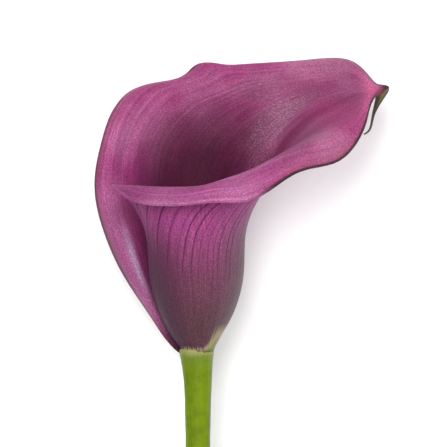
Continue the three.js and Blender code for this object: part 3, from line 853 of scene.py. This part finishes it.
def roll_colour(leaf, colour):
    """The rim that rolls forward over the tube's mouth: paler, with a painted pink highlight on the lip where
    it hangs lowest, painted light in patches and at its right, and painted shade in its middle and at its
    left end.
    """
    roll = leaf.times(leaf.fade(leaf.across, 0.05, 0.09), leaf.fade(leaf.along, 0.38, 0.46))
    roll = leaf.times(roll, leaf.inside, leaf.ramp(leaf.along, 0.23, 0.3))
    colour = leaf.mix(leaf.times(roll, 0.7), colour, ROLL_MAGENTA)
    # A painted highlight on the lip where the roll hangs lowest.
    sag = leaf.ramp(leaf.squared_off(leaf.along, 0.32, 0.04), 0.0, 1.0, 0.3, 0.06)
    lip = leaf.times(roll, sag, leaf.fade(leaf.across, 0.005, 0.03))
    colour = leaf.mix(lip, colour, LIP_HIGHLIGHT_PINK)
    # Painted light in pale patches on the roll and at its right.
    patches = leaf.times(roll, leaf.ramp(leaf.streaks, 0.5, 0.72, 0.0, 0.22))
    colour = leaf.mix(patches, colour, ROLL_PAINTED_LIGHT)
    pale_right = leaf.times(roll, leaf.band(leaf.u, 14.0, 11.0, 0.16))
    colour = leaf.mix(pale_right, colour, ROLL_PAINTED_LIGHT)
    # Painted shade in the roll's middle and at its left end.
    dusky_middle = leaf.times(roll, leaf.band(leaf.u, -4.0, 10.0, 0.2))
    colour = leaf.mix(dusky_middle, colour, ROLL_END_SHADE)
    left_end = leaf.oval((leaf.along, 0.265, 0.045), (leaf.across, 0.0, 0.1))
    left_end = leaf.times(leaf.fade(left_end, 0.0, 1.0, 0.7), leaf.inside)
    return leaf.mix(left_end, colour, ROLL_END_SHADE)


def edge_colour(leaf, colour):
    """A thin line along the very edge: a painted highlight on the roll and painted shade elsewhere. At the
    back the edge curls out of sight, so its line is wider there."""
    folded = leaf.times(leaf.ramp(leaf.along, 0.35, 0.38), leaf.fade(leaf.along, 0.47, 0.5))
    width = leaf.scaled(leaf.times(folded, leaf.back), 0.02, 0.0065)
    width = leaf.times(width, leaf.ramp(leaf.along, 0.5, 0.7, 1.0, 7.0))
    dark = leaf.larger(leaf.ramp(leaf.along, 0.38, 0.42), leaf.back)
    strength = leaf.ramp(dark, 0.0, 1.0, 0.2, 0.85)
    line = leaf.fade(leaf.math("DIVIDE", leaf.margin, width), 0.6, 1.2, strength)
    return leaf.mix(line, colour, leaf.mix(dark, EDGE_HIGHLIGHT, EDGE_SHADE))


def grained(leaf, colour):
    """Cell grain and lengthwise streaks, as lighter and darker shades of what lies under them."""
    shade = leaf.ramp(leaf.speckle, 0.0, 1.0, 0.69, 1.1)
    shade = leaf.times(shade, leaf.ramp(leaf.grain, 0.35, 0.68, 0.75, 1.28))
    shade = leaf.times(shade, leaf.ramp(leaf.streaks, 0.3, 0.75, 0.84, 1.2))
    colour = leaf.mix(1.0, colour, shade, "MULTIPLY")
    flecks = leaf.ramp(leaf.grain, 0.54, 0.72, 1.0, 1.15)
    greyer = leaf.join(leaf.times(flecks, 0.97), leaf.times(flecks, 1.1), flecks)
    return leaf.mix(1.0, colour, greyer, "MULTIPLY")


def foot_colour(leaf, colour):
    """The stem's green and a pale cream rim at the foot of the tube, rising along its right side."""
    ragged = leaf.scaled(leaf.minus(leaf.fibres, 0.5), 5.0, -0.6)
    right = leaf.ramp(leaf.u, 1.5, 7.5, 0.0, 5.0)
    above = leaf.minus(leaf.v, leaf.plus(right, ragged))
    foot = leaf.mix(leaf.ramp(above, -1.6, 0.2), FOOT_GREEN, FOOT_CREAM)
    into_tube = leaf.ramp(above, 0.0, leaf.ramp(leaf.u, 1.5, 7.5, 1.2, 4.5))
    flap_side = leaf.fade(leaf.u, -6.4, -5.2)
    return leaf.mix(leaf.larger(into_tube, flap_side), foot, colour)


def tail_colour(leaf, colour):
    """The beak turns red brown with a painted highlight at its end, then the tail olive with darker lines and
    a dark front margin, painted shade of its crease.
    """
    tail = leaf.mix(leaf.ramp(leaf.streaks, 0.35, 0.65), TAIL_BROWN, TAIL_OLIVE)
    # Painted shade in the crease along the front margin.
    tail = leaf.mix(leaf.ramp(leaf.across, 0.1, 0.5), TAIL_FRONT_SHADE, tail)
    tail = leaf.mix(leaf.ramp(leaf.across, 0.72, 0.95, 0.0, 0.8), tail, TAIL_BACK)
    tail = leaf.mix(leaf.ramp(leaf.along, 0.82, 0.9, 0.0, 0.85), tail, TAIL_END)
    beak = leaf.mix(leaf.ramp(leaf.across, 0.55, 0.95), BEAK_RED, BEAK_DARK)
    # A painted highlight on the beak's end.
    shine = leaf.oval((leaf.across, 0.9, 0.2), (leaf.along, 0.772, 0.014))
    beak = leaf.mix(leaf.fade(shine, 0.0, 1.0, 0.7), beak, BEAK_HIGHLIGHT)
    tail = leaf.mix(leaf.ramp(leaf.along, 0.745, 0.795), beak, tail)
    return leaf.mix(leaf.ramp(leaf.along, 0.66, 0.74), colour, tail)


def spathe_material():
    leaf = Leaf()
    veins = vein_lines(leaf, count=46.0, width=0.16, wander=1.3)
    inner = flap_colour(leaf, inner_colour(leaf))
    colour = leaf.mix(leaf.inside, outer_colour(leaf, veins), inner)
    for paint in (reddened_margin, roll_colour, edge_colour, grained, foot_colour, tail_colour):
        colour = paint(leaf, colour)

    height = leaf.scaled(veins, -0.8, leaf.scaled(leaf.streaks, 0.8, leaf.speckle))
    leaf.bump(height, 0.00011)
    roughness = leaf.ramp(leaf.grain, 0.3, 0.7, 0.36, 0.52)
    return leaf.finish(
        colour, roughness,
        Specular_IOR_Level=0.16, Sheen_Weight=0.05, Sheen_Roughness=0.35, Sheen_Tint=SHEEN_TINT,
        Subsurface_Weight=0.08, Subsurface_Radius=(0.9, 0.25, 0.4), Subsurface_Scale=0.001,
    )


def spadix_material():
    graph = Graph("spadix_florets")
    floret = graph.split(graph.vector("floret"))
    height, share = floret[0], floret[1]
    grain = graph.noise(graph.vector("bloom"), 6.0, 2.0)
    colour = graph.mix(graph.ramp(share, 0.1, 0.4), FLORET_GREEN, FLORET_YELLOW)
    colour = graph.mix(graph.fade(height, 0.1, 0.8, 0.85), colour, FLORET_GAP)
    colour = graph.mix(graph.ramp(grain, 0.4, 0.7, 0.0, 0.35), colour, POLLEN_CREAM)
    graph.bump(grain, 0.0001)
    return graph.finish(colour, 0.68, Specular_IOR_Level=0.3, Subsurface_Weight=0.1, Subsurface_Scale=0.001)


def skin_colour(graph, down, fibres, bloom, grain):
    """The stem's green skin with darker fibres, paler near the bloom and cream right under it."""
    clouds = graph.noise(bloom, 0.2, 2.0)
    colour = graph.mix(graph.ramp(clouds, 0.3, 0.7), STEM_GREEN, STEM_LIGHT_GREEN)
    colour = graph.mix(graph.ramp(fibres, 0.45, 0.75, 0.0, 0.5), colour, STEM_FIBRE)
    colour = graph.mix(graph.ramp(grain, 0.5, 0.75, 0.0, 0.3), colour, STEM_FLECK)
    colour = graph.mix(graph.fade(down, 0.0, 8.0, 0.6), colour, STEM_NECK)
    ragged = graph.scaled(graph.minus(fibres, 0.5), 5.0, down)
    return graph.mix(graph.fade(ragged, 0.4, 3.2, 0.7), colour, STEM_TOP_CREAM)


def cut_colour(graph, share, bloom):
    """The cut: pale and moist inside a darker skin, with scattered bundles of fibres."""
    pith = graph.mix(graph.ramp(graph.cells(bloom, 1.5), 0.05, 0.3), PITH_BUNDLE, PITH_PALE)
    return graph.mix(graph.ramp(share, 0.84, 0.97), pith, PITH_SKIN)


def stem_material():
    graph = Graph("stem_stalk")
    stalk = graph.split(graph.vector("stalk"))
    share, down = stalk[0], stalk[1]
    bloom = graph.vector("bloom")
    fibres = graph.noise(graph.vector("fibre"), 1.0, 3.0, 0.6)
    grain = graph.noise(bloom, 3.0, 2.0)
    skin = skin_colour(graph, down, fibres, bloom, grain)
    colour = graph.mix(graph.ramp(share, 0.97, 0.995), cut_colour(graph, share, bloom), skin)
    graph.bump(graph.scaled(fibres, 0.8, graph.times(grain, 0.4)), 0.00012)
    return graph.finish(
        colour, graph.ramp(fibres, 0.3, 0.7, 0.36, 0.5),
        Specular_IOR_Level=0.12, Subsurface_Weight=0.08, Subsurface_Radius=(0.6, 0.9, 0.2),
        Subsurface_Scale=0.0015,
    )


def dress():
    pieces = (
        (make_spathe(), spathe_material(), "spathe"),
        (make_spadix(), spadix_material(), "spadix"),
        (make_stem(), stem_material(), "stem"),
    )
    for piece, material, node in pieces:
        piece.data.materials.append(material)
        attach(piece, "root")
        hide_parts(node)


def make_floor():
    graph = Graph("floor_pale")
    material = graph.finish((FLOOR_SHADE, FLOOR_SHADE, FLOOR_SHADE, 1.0), 0.9, Specular_IOR_Level=0.1)
    mesh = bpy.data.meshes.new("floor")
    corners = [(x * FLOOR_HALF, y * FLOOR_HALF, 0.0) for x, y in ((-1, -1), (1, -1), (1, 1), (-1, 1))]
    mesh.from_pydata(corners, [], [(0, 1, 2, 3)])
    mesh.materials.append(material)
    floor = bpy.data.objects.new("floor", mesh)
    bpy.context.scene.collection.objects.link(floor)


def bloom_place(u, v, w):
    """A place in the bloom's frame, in metres of the lying pose, without flattening."""
    return (LIE_TURN @ Vector((u, v, w)) + Vector(LIE_SHIFT)) * MM


def make_light(name, place, size, power):
    light = bpy.data.lights.new(name, "AREA")
    light.shape = "DISK"
    light.size = size
    light.energy = power
    lamp = bpy.data.objects.new(name, light)
    lamp.location = bloom_place(*place)
    toward = bloom_place(*LIGHT_AIM) - lamp.location
    lamp.rotation_euler = toward.to_track_quat("-Z", "Y").to_euler()
    bpy.context.scene.collection.objects.link(lamp)


def make_sky():
    world = bpy.data.worlds.new("studio")
    world.use_nodes = True
    background = world.node_tree.nodes["Background"]
    background.inputs["Color"].default_value = (1.0, 1.0, 1.0, 1.0)
    background.inputs["Strength"].default_value = SKY_STRENGTH
    bpy.context.scene.world = world


def make_camera():
    data = bpy.data.cameras.new("camera")
    data.sensor_width = SENSOR_WIDTH
    data.lens = SENSOR_WIDTH * CAMERA_DISTANCE / FRAME_WIDTH
    data.clip_start = NEAREST_SEEN
    camera = bpy.data.objects.new("camera", data)
    camera.location = bloom_place(FRAME_MIDDLE[0], FRAME_MIDDLE[1], FRAME_MIDDLE[2] + CAMERA_DISTANCE)
    camera.rotation_euler = LIE_TURN.to_euler()
    bpy.context.scene.collection.objects.link(camera)
    bpy.context.scene.camera = camera


dress()
make_floor()
make_sky()
for name, (place, size, power) in LIGHTS.items():
    make_light(name, place, size, power)
make_camera()
bpy.context.scene.view_settings.view_transform = "Standard"
